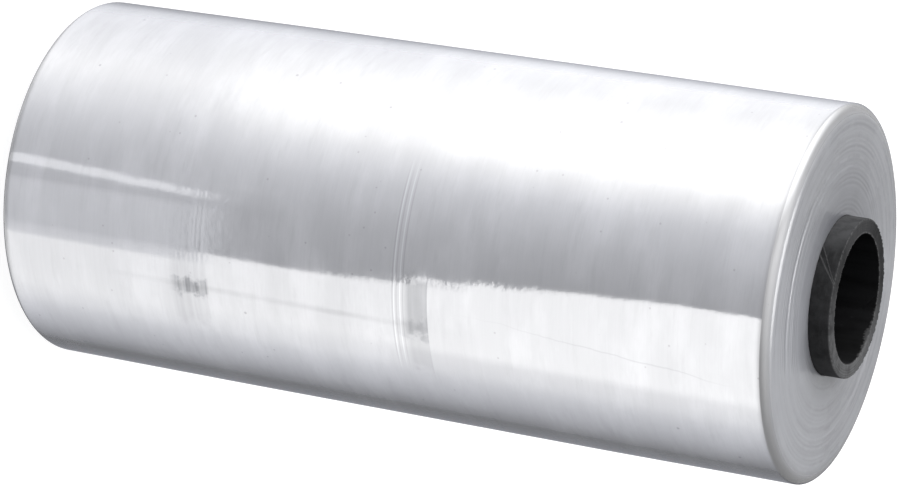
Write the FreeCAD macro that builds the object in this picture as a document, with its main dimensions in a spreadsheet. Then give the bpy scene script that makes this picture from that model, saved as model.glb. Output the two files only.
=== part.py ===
"""Machine roll of stretch wrap film, standing on the end of its core.

The film is wound tight on a spiral-wound paperboard core that stands out of it at both ends. The core's
axis is the Z axis and its lower end lies on Z = 0. All sizes are in millimetres.

Every turn of the film is equally wide, and the turns wandered a little up and down the core as they were
wound: where they stand proud at the upper end, they are sunk by as much at the lower one.
"""

import FreeCAD, Part
import Sketcher
import math
import os

# Driving dimensions: alias, value, meaning
SIZES = (
    ("film_width", 500.0, "width of the film, the same for every turn"),
    ("film_radius", 112.5, "outside radius of the wound film at its middle"),
    ("shoulder_reach", 10.0, "how far in from the side the outermost turns are rounded off"),
    ("shoulder_drop", 5.0, "how far down the side they are rounded off"),
    ("edge_thinning", 0.5, "how much smaller the winding's radius is at its two ends"),
    ("turn_shift", 0.5, "furthest that the turns wander up or down the core"),
    ("lower_band_height", 131.0, "middle of the lower gauge band above the film's lower end"),
    ("lower_band_width", 24.0, "width of the lower gauge band"),
    ("upper_band_height", 280.0, "middle of the upper gauge band above the film's lower end"),
    ("upper_band_width", 22.0, "width of the upper gauge band"),
    ("band_depth", 0.35, "depth of each gauge band, where the film is a little thinner"),
    ("bore_radius", 38.1, "inside radius of the core, for a three inch mandrel"),
    ("core_wall", 8.9, "thickness of the paperboard"),
    ("core_overhang", 13.0, "how far the core stands out of the film at each end"),
    ("rim_bevel", 0.6, "worn outer corner at each end of the core"),
    ("seam_depth", 0.6, "thickness of the outermost paper ply"),
    ("seam_width", 1.6, "gap between neighbouring turns of that ply, measured along the core"),
    ("seam_pitch", 190.0, "advance of the ply in one turn round the core"),
)
TURN_GROUPS = 16  # groups of turns that can be told apart at an end
SHARE_SWAY = 0.34  # how unevenly the groups share the winding, as a part of one group
SWAY_STEP = 1.9  # radians of that sway from one group to the next
WANDER_STEP = 2.3  # radians of the turns' wander up and down from one group to the next
SHOULDER_FLATS = 5  # flats that make up the round of a shoulder
SEAM_OVERCUT = 0.4  # how far the seam's cutter reaches outside the ply, as a part of its depth
SEAM_BEARING = -121.0  # degrees round the axis at which the seam leaves the film's upper end


class Measure:
    """A length: its value now, and the formula that ties it to the driving dimensions."""

    def __init__(self, value, formula):
        self.value = value
        self.formula = formula

    def __add__(self, other):
        return Measure(self.value + other.value, f"({self.formula} + {other.formula})")

    def __sub__(self, other):
        return Measure(self.value - other.value, f"({self.formula} - {other.formula})")

    def __mul__(self, factor):
        return Measure(self.value * factor, f"{self.formula} * ({factor:.5f})")


ZERO = Measure(0.0, "0")


class Corner:
    """A corner of a profile that is revolved round the axis."""

    def __init__(self, radius, height):
        self.radius = radius
        self.height = height
        self.point = FreeCAD.Vector(radius.value, height.value, 0)


def make_sheet(doc):
    """Writes the driving dimensions to a spreadsheet and returns them as measures, by alias."""
    sheet = doc.addObject("Spreadsheet::Sheet", "sizes")
    sheet.Label = "sizes"
    for row, (alias, value, meaning) in enumerate(SIZES, start=1):
        sheet.set(f"A{row}", alias)
        sheet.set(f"B{row}", str(value))
        sheet.set(f"C{row}", meaning)
        sheet.setAlias(f"B{row}", alias)
    doc.recompute()
    return {alias: Measure(value, f"<<sizes>>.{alias}") for alias, value, _ in SIZES}


def origin_feature(body, role):
    """The plane or axis of a body's own origin that has this role."""
    return next(feature for feature in body.Origin.OriginFeatures if feature.Role == role)


def radial_sketch(body, name):
    """A sketch on the body's XZ plane, so that its x is a radius and its y is a height."""
    sketch = body.newObject("Sketcher::SketchObject", name)
    sketch.AttachmentSupport = (origin_feature(body, "XZ_Plane"), [""])
    sketch.MapMode = "FlatFace"
    sketch.Visibility = False
    return sketch


def bind(sketch, kind, places, measure):
    """Adds one dimension to a sketch and ties it to its formula."""
    index = sketch.addConstraint(Sketcher.Constraint(kind, *places, measure.value))
    sketch.setExpression(f"Constraints[{index}]", measure.formula)


def draw_profile(sketch, corners):
    """Draws a closed profile of straight edges, with every corner tied to its measures."""
    count = len(corners)
    for index, corner in enumerate(corners):
        sketch.addGeometry(Part.LineSegment(corner.point, corners[(index + 1) % count].point))
    for index in range(count):
        sketch.addConstraint(Sketcher.Constraint("Coincident", index, 2, (index + 1) % count, 1))
    for index, corner in enumerate(corners):
        bind(sketch, "DistanceX", (-1, 1, index, 1), corner.radius)
        bind(sketch, "DistanceY", (-1, 1, index, 1), corner.height)


def revolve(body, name, sketch):
    """Turns a profile once round the axis of the core."""
    solid = body.newObject("PartDesign::Revolution", name)
    solid.Profile = sketch
    solid.ReferenceAxis = (origin_feature(body, "Z_Axis"), [""])
    solid.Angle = 360
    return solid


def turn_group_edges():
    """Where each group of turns meets the next, and how far the turns have wandered there.

    Places run from 0 at the core to 1 at the shoulder, and wander from -1 to 1.
    """
    edges = [(0.0, 0.0)]
    for index in range(1, TURN_GROUPS):
        place = (index + SHARE_SWAY * math.sin(SWAY_STEP * index)) / TURN_GROUPS
        edges.append((place, math.sin(WANDER_STEP * index)))
    return edges + [(1.0, 0.0)]


def end_ripples(sizes, height):
    """The rippled profile of one end of the winding, from the core out to the shoulder."""
    inner = sizes["bore_radius"] + sizes["core_wall"]
    span = sizes["film_radius"] - sizes["edge_thinning"] - sizes["shoulder_reach"] - inner
    return [
        Corner(inner + span * place, height + sizes["turn_shift"] * wander)
        for place, wander in turn_group_edges()
    ]


def shoulder(sizes, end_level, climb):
    """The round of the outermost turns at one end, as flats between points of a quarter ellipse.

    The corners run from the end to the side. They climb at the lower end (1) and drop at the upper one (-1).
    """
    start = sizes["film_radius"] - sizes["edge_thinning"] - sizes["shoulder_reach"]
    corners = []
    for index in range(1, SHOULDER_FLATS + 1):
        angle = math.radians(90) * index / SHOULDER_FLATS
        height = end_level + sizes["shoulder_drop"] * (climb * (1 - math.cos(angle)))
        corners.append(Corner(start + sizes["shoulder_reach"] * math.sin(angle), height))
    return corners


def gauge_band(sizes, foot, name):
    """The three corners of a shallow band round the winding, from its lower edge to its upper one."""
    full = sizes["film_radius"]
    middle = foot + sizes[f"{name}_height"]
    half_width = sizes[f"{name}_width"] * 0.5
    return [
        Corner(full, middle - half_width),
        Corner(full - sizes["band_depth"], middle),
        Corner(full, middle + half_width),
    ]


def make_film_winding(doc, sizes):
    """All the turns of the film: rippled ends, round shoulders, and a side with two gauge bands."""
    body = doc.addObject("PartDesign::Body", "film_winding")
    body.Label = "film_winding"
    doc.recompute()
    foot = sizes["core_overhang"]
    head = foot + sizes["film_width"]
    corners = (
        end_ripples(sizes, foot)
        + shoulder(sizes, foot, 1)
        + gauge_band(sizes, foot, "lower_band")
        + gauge_band(sizes, foot, "upper_band")
        + shoulder(sizes, head, -1)[::-1]
        + end_ripples(sizes, head)[::-1]
    )
    profile = radial_sketch(body, "winding_profile")
    draw_profile(profile, corners)
    revolve(body, "winding", profile)
    return body


def make_core(doc, sizes):
    """The paperboard tube, with worn rims and the spiral seam of its outermost ply."""
    body = doc.addObject("PartDesign::Body", "core")
    body.Label = "core"
    doc.recompute()
    bore = sizes["bore_radius"]
    outside = bore + sizes["core_wall"]
    bevel = sizes["rim_bevel"]
    length = sizes["film_width"] + sizes["core_overhang"] * 2
    wall = radial_sketch(body, "wall_profile")
    draw_profile(
        wall,
        [
            Corner(bore, ZERO),
            Corner(outside - bevel, ZERO),
            Corner(outside, bevel),
            Corner(outside, length - bevel),
            Corner(outside - bevel, length),
            Corner(bore, length),
        ],
    )
    revolve(body, "tube", wall)
    doc.recompute()
    cut_seam(body, sizes, outside, length)
    return body


def cut_seam(body, sizes, outside, length):
    """Cuts the gap between the turns of the outermost ply, a right-handed spiral from end to end."""
    depth = sizes["seam_depth"]
    width = sizes["seam_width"]
    floor = outside - depth
    cutter = outside + depth * SEAM_OVERCUT
    start = ZERO - width * 2
    section = radial_sketch(body, "seam_section")
    draw_profile(
        section,
        [
            Corner(floor, start),
            Corner(cutter, start),
            Corner(cutter, start + width),
            Corner(floor, start + width),
        ],
    )
    seam = body.newObject("PartDesign::SubtractiveHelix", "seam")
    seam.Profile = section
    seam.ReferenceAxis = (origin_feature(body, "Z_Axis"), [""])
    seam.Mode = "pitch-height-angle"
    seam.setExpression("Pitch", sizes["seam_pitch"].formula)
    seam.setExpression("Height", (length + width * 3).formula)
    seam.LeftHanded = False
    climb = length - sizes["core_overhang"] - start
    turned = 360 * climb.value / sizes["seam_pitch"].value
    bearing = FreeCAD.Rotation(FreeCAD.Vector(0, 0, 1), SEAM_BEARING - turned)
    body.Placement = FreeCAD.Placement(FreeCAD.Vector(0, 0, 0), bearing)


def check_document(doc, bodies):
    """Stops if any object failed, or if a piece isn't one sound solid."""
    for item in doc.Objects:
        if "Invalid" in item.State or "Error" in item.State:
            raise RuntimeError(f"{item.Name} failed: {item.State}")
    for body in bodies:
        shape = body.Shape
        if shape.isNull() or not shape.isValid() or len(shape.Solids) != 1:
            raise RuntimeError(f"{body.Label} is not one sound solid")


def check_seam(body):
    """Stops if the seam took no board away."""
    tube, seam = body.Document.getObject("tube"), body.Document.getObject("seam")
    if seam.Shape.Volume >= tube.Shape.Volume:
        raise RuntimeError("the seam cuts nothing")


def main():
    """Builds both pieces, checks them and writes one file for each."""
    doc = FreeCAD.newDocument("stretch_wrap_roll")
    sizes = make_sheet(doc)
    core = make_core(doc, sizes)
    film_winding = make_film_winding(doc, sizes)
    doc.recompute()
    bodies = (core, film_winding)
    check_document(doc, bodies)
    check_seam(core)
    os.makedirs("parts", exist_ok=True)
    for body in bodies:
        body.Shape.exportStep(f"parts/{body.Label}.step")
        print(body.Label, round(body.Shape.Volume), body.Shape.BoundBox)


main()
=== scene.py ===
"""Looks of a machine roll of stretch wrap film that stands on the end of its core.

The roll stands on its rim with its axis along Z, in metres. Azimuths are angles round that axis from +X, and
the side that faces the camera is at -90 degrees. The camera lies on its side, so that the roll lies on its
side in the picture, as such a roll is carried and sold.
"""

import logging
import math
from dataclasses import dataclass, field
from enum import Enum
from functools import reduce
from typing import Optional

import bpy
import numpy as np
from mathutils import Matrix, Vector

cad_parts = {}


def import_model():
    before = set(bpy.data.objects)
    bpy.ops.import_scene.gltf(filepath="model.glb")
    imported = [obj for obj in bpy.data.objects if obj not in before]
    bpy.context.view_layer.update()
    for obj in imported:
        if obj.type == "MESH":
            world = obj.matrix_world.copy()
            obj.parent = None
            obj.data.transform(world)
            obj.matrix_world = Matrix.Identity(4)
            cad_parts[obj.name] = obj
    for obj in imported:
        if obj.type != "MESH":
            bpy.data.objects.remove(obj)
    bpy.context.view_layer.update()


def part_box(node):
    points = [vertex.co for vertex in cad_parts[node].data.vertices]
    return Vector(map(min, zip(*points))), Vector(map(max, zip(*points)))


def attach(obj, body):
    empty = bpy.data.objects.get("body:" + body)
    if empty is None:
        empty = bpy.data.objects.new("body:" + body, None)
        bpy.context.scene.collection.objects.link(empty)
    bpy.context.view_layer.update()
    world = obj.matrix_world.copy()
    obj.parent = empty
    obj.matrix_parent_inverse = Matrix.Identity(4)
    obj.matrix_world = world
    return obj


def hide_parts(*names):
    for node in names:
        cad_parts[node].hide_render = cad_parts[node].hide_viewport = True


LOG = logging.getLogger("stretch_wrap_roll")
MM = 0.001
TURN = 2 * math.pi
Socket = bpy.types.NodeSocket
Colour = tuple[float, float, float, float]


class RollEnd(Enum):
    """The two ends of the roll, each with the way that its outside faces along Z."""

    LOWER = -1
    UPPER = 1


# Shapes as functions


def smooth_step(value: np.ndarray, start: float, end: float) -> np.ndarray:
    """Rises from 0 at start to 1 at end along 3t^2 - 2t^3."""
    share = np.clip((value - start) / (end - start), 0.0, 1.0)
    return share * share * (3.0 - 2.0 * share)


def bell(value: np.ndarray, middle: float, half_width: float) -> np.ndarray:
    """A bell of height 1: e to the minus square of the distance over the half width."""
    return np.exp(-(((value - middle) / half_width) ** 2))


def wrapped(angle: np.ndarray) -> np.ndarray:
    """The same angle between minus half a turn and half a turn, in radians."""
    return (angle + math.pi) % TURN - math.pi


def sway(place: np.ndarray, waves: int, longest: float, shortest: float, seed: int) -> np.ndarray:
    """An uneven wave: the mean of sines whose lengths and phases are drawn from a seeded generator.

    Args:
        place: Places along the wave, in any unit of length.
        waves: How many sines are added.
        longest: Longest wavelength.
        shortest: Shortest wavelength.
        seed: Seed of the generator.

    Returns:
        Heights with a spread of about 1 each way.
    """
    draw = np.random.default_rng(seed)
    lengths = np.exp(draw.uniform(math.log(shortest), math.log(longest), waves))
    phases = draw.uniform(0, TURN, waves)
    total = np.zeros_like(np.asarray(place, float))
    for length, phase in zip(lengths, phases):
        total += np.sin(TURN * place / length + phase)
    return total * math.sqrt(2.0 / waves)


def tufted(place: np.ndarray, sharpness: float, waves: int, longest: float, shortest: float,
           seed: int) -> np.ndarray:
    """Uneven tufts between 0 and 1: half of 1 plus the tanh of a sway that is multiplied by a sharpness."""
    return 0.5 * (1 + np.tanh(sharpness * sway(place, waves, longest, shortest, seed)))


def grooves(place: np.ndarray, marks: tuple[tuple[float, float], ...], half_width: float) -> np.ndarray:
    """The sum of narrow bell-shaped marks, each given by its middle and its height, below 0 for a groove."""
    return sum(height * bell(place, middle, half_width) for middle, height in marks)


def revolved_mesh(name: str, radii: np.ndarray, heights: np.ndarray,
                  azimuths: np.ndarray) -> bpy.types.Object:
    """A ring-shaped closed mesh: a closed profile carried once round the axis.

    A vertex lies at (radius cos azimuth, radius sin azimuth, height). The profile runs outwards along the
    bottom, up the outside, inwards along the top and down the inside, so that faces point outwards.

    Args:
        name: Name of the new object.
        radii: Radius of each vertex, one row for each profile point and one column for each azimuth.
        heights: Height of each vertex, likewise.
        azimuths: Azimuth of each column, in radians.

    Returns:
        The new object, at the origin.
    """
    rows, columns = radii.shape
    points = np.empty((rows, columns, 3))
    points[..., 0] = radii * np.cos(azimuths)
    points[..., 1] = radii * np.sin(azimuths)
    points[..., 2] = heights
    index = np.arange(rows * columns).reshape(rows, columns)
    onward = np.roll(index, -1, axis=1)
    above = np.roll(index, -1, axis=0)
    above_onward = np.roll(onward, -1, axis=0)
    quads = np.stack([index, onward, above_onward, above], axis=-1).reshape(-1, 4)
    return mesh_object(name, points.reshape(-1, 3), quads)


def mesh_object(name: str, points: np.ndarray, quads: np.ndarray) -> bpy.types.Object:
    """Puts points and four-sided faces into a new smooth-shaded object.

    Args:
        name: Name of the new object and its mesh.
        points: One row of three coordinates for each vertex, in metres.
        quads: One row of four vertex numbers for each face.

    Returns:
        The new object, linked to the scene.
    """
    mesh = bpy.data.meshes.new(name)
    mesh.vertices.add(len(points))
    mesh.vertices.foreach_set("co", points.astype(np.float32).ravel())
    mesh.loops.add(quads.size)
    mesh.loops.foreach_set("vertex_index", quads.astype(np.int32).ravel())
    mesh.polygons.add(len(quads))
    mesh.polygons.foreach_set("loop_start", np.arange(0, quads.size, 4, dtype=np.int32))
    mesh.polygons.foreach_set("use_smooth", np.ones(len(quads), bool))
    mesh.update(calc_edges=True)
    mesh.validate()
    made = bpy.data.objects.new(name, mesh)
    bpy.context.scene.collection.objects.link(made)
    return made


# Materials


def cool_grey(value: float, coolness: float = 0.0) -> Colour:
    """A grey of that brightness, with blue raised by coolness and red lowered by a quarter of it."""
    return (value * (1 - 0.25 * coolness), value, value * (1 + coolness), 1.0)


class NodeSketch:
    """A short way to lay out a node tree: each method adds nodes and returns an output socket."""

    def __init__(self, tree: bpy.types.NodeTree) -> None:
        """Empties a node tree and keeps it."""
        self.tree = tree
        tree.nodes.clear()

    def node(self, kind: str, inputs: Optional[dict] = None, **settings: object) -> bpy.types.Node:
        """Adds a node.

        Args:
            kind: Type name of the node.
            inputs: Values or sockets for its inputs, by name or number.
            settings: Properties of the node.

        Returns:
            The node.
        """
        made = self.tree.nodes.new(kind)
        for key, value in settings.items():
            setattr(made, key, value)
        for key, value in (inputs or {}).items():
            if isinstance(value, Socket):
                self.tree.links.new(value, made.inputs[key])
            else:
                made.inputs[key].default_value = value
        return made

    def maths(self, operation: str, *values: object) -> Socket:
        """The result of one sum on up to three numbers or sockets."""
        return self.node("ShaderNodeMath", dict(enumerate(values)), operation=operation).outputs[0]

    def plus(self, first: object, second: object) -> Socket:
        """The sum of two numbers or sockets."""
        return self.maths("ADD", first, second)

    def minus(self, first: object, second: object) -> Socket:
        """The first number or socket less the second."""
        return self.maths("SUBTRACT", first, second)

    def distance(self, first: object, second: object) -> Socket:
        """How far two numbers or sockets are apart."""
        return self.maths("ABSOLUTE", self.minus(first, second))

    def product(self, *values: object) -> Socket:
        """The product of two or more numbers or sockets."""
        return reduce(lambda result, value: self.maths("MULTIPLY", result, value), values)

    def ramp(self, value: Socket, low: float, high: float, to_low: object = 0.0,
             to_high: object = 1.0) -> Socket:
        """Carries a value smoothly from the range low to high to the range to_low to to_high."""
        places = {0: value, 1: low, 2: high, 3: to_low, 4: to_high}
        return self.node("ShaderNodeMapRange", places, interpolation_type="SMOOTHSTEP").outputs[0]

    def line(self, value: Socket, low: float, high: float, to_low: float, to_high: float) -> Socket:
        """Carries a value from one range to another along a straight line, and holds it at both ends."""
        return self.node("ShaderNodeMapRange", {0: value, 1: low, 2: high, 3: to_low, 4: to_high}).outputs[0]

    def marks(self, value: Socket, middles: tuple[float, ...], core: float, edge: float) -> Socket:
        """Narrow marks at several places.

        Args:
            value: The number that is tested.
            middles: Middle of each mark.
            core: Half width of the full mark.
            edge: Half width at which it has faded out.

        Returns:
            1 on a mark and 0 between them.
        """
        total: object = 0.0
        for middle in middles:
            total = self.plus(total, self.ramp(self.distance(value, middle), core, edge, 1.0, 0.0))
        return total

    def between(self, value: Socket, low: float, high: float, softness: float,
                high_softness: Optional[float] = None) -> Socket:
        """1 between two limits and 0 outside them, with soft edges.

        Args:
            value: The number that is tested.
            low: Lower limit.
            high: Upper limit.
            softness: Width of an edge, half of it on each side of its limit.
            high_softness: Width of the upper edge, where it differs.

        Returns:
            A number between 0 and 1.
        """
        half, high_half = softness / 2, (softness if high_softness is None else high_softness) / 2
        rise = self.ramp(value, low - half, low + half)
        return self.product(rise, self.ramp(value, high - high_half, high + high_half, 1.0, 0.0))

    def levels(self, value: Socket, low: float, high: float, stops: list[tuple[float, Colour]]) -> Socket:
        """The colour on a ramp of stops.

        Args:
            value: Place along the ramp.
            low: Place of the ramp's first end.
            high: Place of its other end.
            stops: Place and colour of each stop, the first at low and the last at high.

        Returns:
            The colour.
        """
        ramp = self.node("ShaderNodeValToRGB", {0: self.line(value, low, high, 0.0, 1.0)})
        elements = ramp.color_ramp.elements
        first, last = elements[0], elements[1]
        first.color, last.color = stops[0][1], stops[-1][1]
        for place, colour in stops[1:-1]:
            elements.new((place - low) / (high - low)).color = colour
        return ramp.outputs[0]

    def object_place(self, scale: tuple[float, float, float] = (1.0, 1.0, 1.0)) -> Socket:
        """Object coordinates, stretched along the three axes."""
        place = self.node("ShaderNodeTexCoord").outputs["Object"]
        return self.node("ShaderNodeMapping", {"Vector": place, "Scale": scale}).outputs[0]

    def height(self) -> Socket:
        """Height above the floor in metres."""
        return self.node("ShaderNodeSeparateXYZ", {0: self.object_place()}).outputs[2]

    def radius(self) -> Socket:
        """Distance from the axis in metres."""
        flat = self.object_place((1.0, 1.0, 0.0))
        return self.node("ShaderNodeVectorMath", {0: flat}, operation="LENGTH").outputs["Value"]

    def bearing(self, parts: object) -> Socket:
        """Azimuth in degrees of a direction that is given by its parts."""
        return self.maths("DEGREES", self.maths("ARCTAN2", parts[1], parts[0]))

    def azimuth(self) -> Socket:
        """Azimuth of the shaded point in degrees."""
        return self.bearing(self.node("ShaderNodeSeparateXYZ", {0: self.object_place()}).outputs)

    def facing(self, bearing: float) -> Socket:
        """How much the shaded point faces a bearing: the cosine of the angle between them."""
        return self.maths("COSINE", self.maths("RADIANS", self.minus(self.azimuth(), bearing)))

    def noise(self, place: Socket, scale: float, detail: float = 3.0, roughness: float = 0.55) -> Socket:
        """Cloudy noise between 0 and 1 at a place, with scale clouds for each unit."""
        inputs = {"Vector": place, "Scale": scale, "Detail": detail, "Roughness": roughness}
        return self.node("ShaderNodeTexNoise", inputs).outputs[0]

    def streaks(self, round_it: float, along_it: float, detail: float, roughness: float) -> Socket:
        """Noise with round_it clouds for each metre across the axis and along_it for each metre along it."""
        return self.noise(self.object_place((round_it, round_it, along_it)), 1.0, detail, roughness)

    def blend(self, share: object, first: object, second: object) -> Socket:
        """Mixes two colours by a share of the second."""
        return self.node("ShaderNodeMix", {0: share, 6: first, 7: second}, data_type="RGBA").outputs[2]

    def layer(self, below: object, pattern: Socket, low: float, high: float, strength: float,
              colour: object) -> Socket:
        """Lays a colour over another, from nothing where a pattern is low to the full strength where high."""
        return self.blend(self.product(self.ramp(pattern, low, high), strength), below, colour)

    def bump(self, height: Socket, depth: float, before: Optional[Socket] = None) -> Socket:
        """A surface raised by a height between 0 and 1, over an earlier bump if there is one.

        Args:
            height: The pattern of the relief.
            depth: Height of the relief in metres.
            before: Normal that the relief starts from.

        Returns:
            The new normal.
        """
        inputs = {"Height": height, "Distance": depth, "Strength": 1.0}
        if before is not None:
            inputs["Normal"] = before
        return self.node("ShaderNodeBump", inputs).outputs[0]

    def scaled(self, colour: Socket, factor: Socket) -> Socket:
        """A colour with all its parts multiplied by a factor."""
        return self.node("ShaderNodeVectorMath", {0: colour, 3: factor}, operation="SCALE").outputs[0]

    def surface(self, inputs: dict) -> None:
        """Ends a material with a principled shader."""
        principled = self.node("ShaderNodeBsdfPrincipled", inputs)
        self.node("ShaderNodeOutputMaterial", {"Surface": principled.outputs[0]})


def new_material(name: str) -> tuple[bpy.types.Material, NodeSketch]:
    """Makes an empty node material.

    Args:
        name: Name of the material.

    Returns:
        The material, and the sketch that its nodes are added with.
    """
    material = bpy.data.materials.new(name)
    material.use_nodes = True
    return material, NodeSketch(material.node_tree)


@dataclass(frozen=True)
class PaintedShadePatch:
    """A patch of painted shade on the side: darker colour that stands in for a dimmer reflection."""

    azimuths: tuple[float, float]
    heights: tuple[float, float]
    depth: float
    softness: tuple[float, float, float]

    def share(self, sketch: NodeSketch, azimuth: Socket, from_middle: Socket) -> Socket:
        """How much painted shade the patch lays at the shaded point.

        Args:
            sketch: Where the nodes go.
            azimuth: Azimuth of the shaded point in degrees.
            from_middle: Its height above the film's middle, in metres.

        Returns:
            The share of the painted shade.
        """
        along = sketch.between(azimuth, *self.azimuths, self.softness[0])
        across = sketch.between(from_middle, *self.heights, *self.softness[1:])
        return sketch.product(along, across, self.depth)


@dataclass(frozen=True)
class StretchFilmFinish:
    """Wound stretch film: glossy and streaky on the side, dull and ringed where its edges lie at the ends,
    with painted light and shade in places.
    """

    middle: float
    end_reach: float
    side_radius: float
    core_radius: float
    shoulder: float
    name: str = "stretch_film"
    tone: float = 0.42
    edge_tone: float = 0.262
    coolness: float = 0.025
    edge_coolness: float = 0.08
    mirror_share: float = 0.52
    edge_mirror_share: float = 0.1
    refraction: float = 1.52
    haze_roughness: float = 0.052
    edge_roughness: float = 0.36
    coat_weight: float = 0.5
    coat_roughness: float = 0.04
    patches: tuple[PaintedShadePatch, ...] = (
        PaintedShadePatch((-74.5, -57.0), (27.5 * MM, 41.0 * MM), 0.20, (4.0, 5 * MM, 0.5 * MM)),
        PaintedShadePatch((-75.0, -44.0), (27 * MM, 41.0 * MM), 0.17, (5.0, 6 * MM, 0.5 * MM)),
        PaintedShadePatch((-61.8, -56.2), (22 * MM, 41.0 * MM), 0.17, (2.6, 7 * MM, 1.0 * MM)),
        PaintedShadePatch((-62.6, -57.4), (-127 * MM, -105 * MM), 0.42, (2.4, 14 * MM, 2.5 * MM)),
        PaintedShadePatch((-72.5, -47.0), (-129 * MM, -106 * MM), 0.15, (6.0, 7 * MM, 3 * MM)),
    )
    # Heights of painted highlight lines and painted shade lines that follow the ridges and grooves of the
    # upper gauge band.
    painted_highlight_lines: tuple[float, ...] = (19.6 * MM, 23.6 * MM)
    painted_shade_lines: tuple[float, ...] = (18.6 * MM, 21.2 * MM, 25.4 * MM)
    # Bearing of the side of the ends that gets the most painted shadow near the core.
    core_shade_bearing: float = 180.0
    # Bearing of the side of the ends that painted light brightens.
    end_painted_light_bearing: float = -50.0

    def shade(self, share: float) -> Colour:
        """A share of the side's tone."""
        return cool_grey(self.tone * share, self.coolness)

    def edge_shade(self, share: float, coolness_share: float = 1.0) -> Colour:
        """A share of the tone of the film's edges."""
        return cool_grey(self.edge_tone * share, self.edge_coolness * coolness_share)

    def material(self) -> bpy.types.Material:
        """The finished material.

        Returns:
            A material whose patterns read Object coordinates.
        """
        made, sketch = new_material(self.name)
        height, radius = sketch.height(), sketch.radius()
        from_middle = sketch.minus(height, self.middle)
        to_end = sketch.minus(self.end_reach, sketch.maths("ABSOLUTE", from_middle))
        on_end = sketch.product(
            sketch.ramp(to_end, 0.4 * MM, self.shoulder, 1.0, 0.0),
            sketch.ramp(radius, self.side_radius - 0.9 * MM, self.side_radius - 9 * MM),
        )
        side_colour, side_normal, haze = self.side(sketch, from_middle)
        end_colour, end_normal = self.ends(sketch, radius, side_normal, on_end)
        side_roughness = sketch.plus(self.haze_roughness, sketch.product(haze, 0.03))
        sketch.surface({
            "Base Color": sketch.blend(on_end, side_colour, end_colour),
            "Roughness": sketch.ramp(on_end, 0.0, 1.0, side_roughness, self.edge_roughness),
            "Metallic": sketch.ramp(on_end, 0.0, 1.0, self.mirror_share, self.edge_mirror_share),
            "IOR": self.refraction,
            "Normal": end_normal,
            "Coat Weight": self.coat_weight,
            "Coat Roughness": self.coat_roughness,
            "Coat IOR": self.refraction,
            "Coat Normal": end_normal,
        })
        return made

    def side(self, sketch: NodeSketch, from_middle: Socket) -> tuple[Socket, Socket, Socket]:
        """Colour, relief and haze of the side, with painted highlight lines, painted shade lines and painted
        shade patches in the colour.

        Args:
            sketch: Where the nodes go.
            from_middle: Height above the film's middle, in metres.

        Returns:
            The colour, the normal and the haze.
        """
        fine_lines = sketch.streaks(8.0, 1300.0, 3.0, 0.6)
        streaks = sketch.streaks(9.0, 360.0, 3.0, 0.6)
        smears = sketch.streaks(34.0, 190.0, 4.0, 0.65)
        haze = sketch.ramp(sketch.streaks(17.0, 44.0, 4.0, 0.6), 0.40, 0.72)
        dimples = sketch.noise(sketch.object_place(), 170.0, 3.0, 0.6)
        pale, dark = self.shade(1.10), self.shade(0.86)
        colour = sketch.blend(haze, self.shade(0.97), pale)
        colour = sketch.layer(colour, streaks, 0.38, 0.72, 0.2, pale)
        colour = sketch.layer(colour, smears, 0.5, 0.74, 0.42, dark)
        colour = sketch.layer(colour, fine_lines, 0.4, 0.7, 0.14, dark)
        # Painted highlight and painted shade: pale lines over the band's ridges and dark lines over its
        # grooves, only round the side towards the camera.
        painted_lines_reach = sketch.between(sketch.azimuth(), -106.0, -47.0, 14.0)
        for places, strength, line_tone in ((self.painted_highlight_lines, 0.45, 1.5), (self.painted_shade_lines, 0.36, 0.55)):
            share = sketch.product(sketch.marks(from_middle, places, 0.15 * MM, 0.65 * MM), painted_lines_reach, strength)
            colour = sketch.blend(share, colour, self.shade(line_tone))
        for per_metre, size, rarity, strength in ((90.0, 0.050, 0.92, 0.45), (210.0, 0.085, 0.965, 0.34)):
            spots = self.specks(sketch, per_metre, size, rarity)
            colour = sketch.blend(sketch.product(spots, strength), colour, cool_grey(0.13))
        # Painted shade: the patches and the crease darken the side's colour where its reflection is dimmer.
        side_painted_shade = sketch.plus(self.painted_shade_patches(sketch, from_middle), self.crease(sketch, from_middle))
        colour = sketch.blend(side_painted_shade, colour, cool_grey(0.05, 0.2))
        normal = None
        for pattern, depth in ((fine_lines, 0.0012 * MM), (smears, 0.006 * MM), (dimples, 0.026 * MM)):
            normal = sketch.bump(pattern, depth, normal)
        return colour, normal, haze

    def painted_shade_patches(self, sketch: NodeSketch, from_middle: Socket) -> Socket:
        """How much painted shade all the patches lay.

        Args:
            sketch: Where the nodes go.
            from_middle: Height above the film's middle, in metres.

        Returns:
            The share of the painted shade.
        """
        waver = sketch.noise(sketch.object_place(), 130.0, 3.0, 0.6)
        azimuth = sketch.plus(sketch.azimuth(), sketch.ramp(waver, 0.2, 0.8, -2.0, 2.0))
        total: object = 0.0
        for patch in self.patches:
            total = sketch.plus(total, patch.share(sketch, azimuth, from_middle))
        comb = sketch.streaks(12.0, 330.0, 2.0, 0.55)
        contrast = sketch.ramp(from_middle, -80 * MM, 0.0, 0.38, 0.1)
        combed = sketch.product(sketch.ramp(comb, 0.3, 0.7, -1.0, 1.0), contrast)
        return sketch.product(total, sketch.plus(1.0, combed))

    @staticmethod
    def crease(sketch: NodeSketch, from_middle: Socket) -> Socket:
        """A hairline crease that climbs the side of the outermost turn at a slant, drawn as a dark line of
        painted shade.

        Args:
            sketch: Where the nodes go.
            from_middle: Height above the film's middle, in metres.

        Returns:
            The share of painted shade along the crease.
        """
        waver = sketch.noise(sketch.object_place(), 30.0, 3.0, 0.6)
        slant = sketch.line(from_middle, 84 * MM, 235 * MM, -65.7, -57.8)
        off = sketch.distance(sketch.azimuth(), sketch.plus(slant, sketch.ramp(waver, 0.2, 0.8, -0.7, 0.7)))
        length = sketch.between(from_middle, 100 * MM, 215 * MM, 110 * MM, 50 * MM)
        return sketch.product(sketch.ramp(off, 0.08, 0.34, 1.0, 0.0), length, 0.15)

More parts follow.
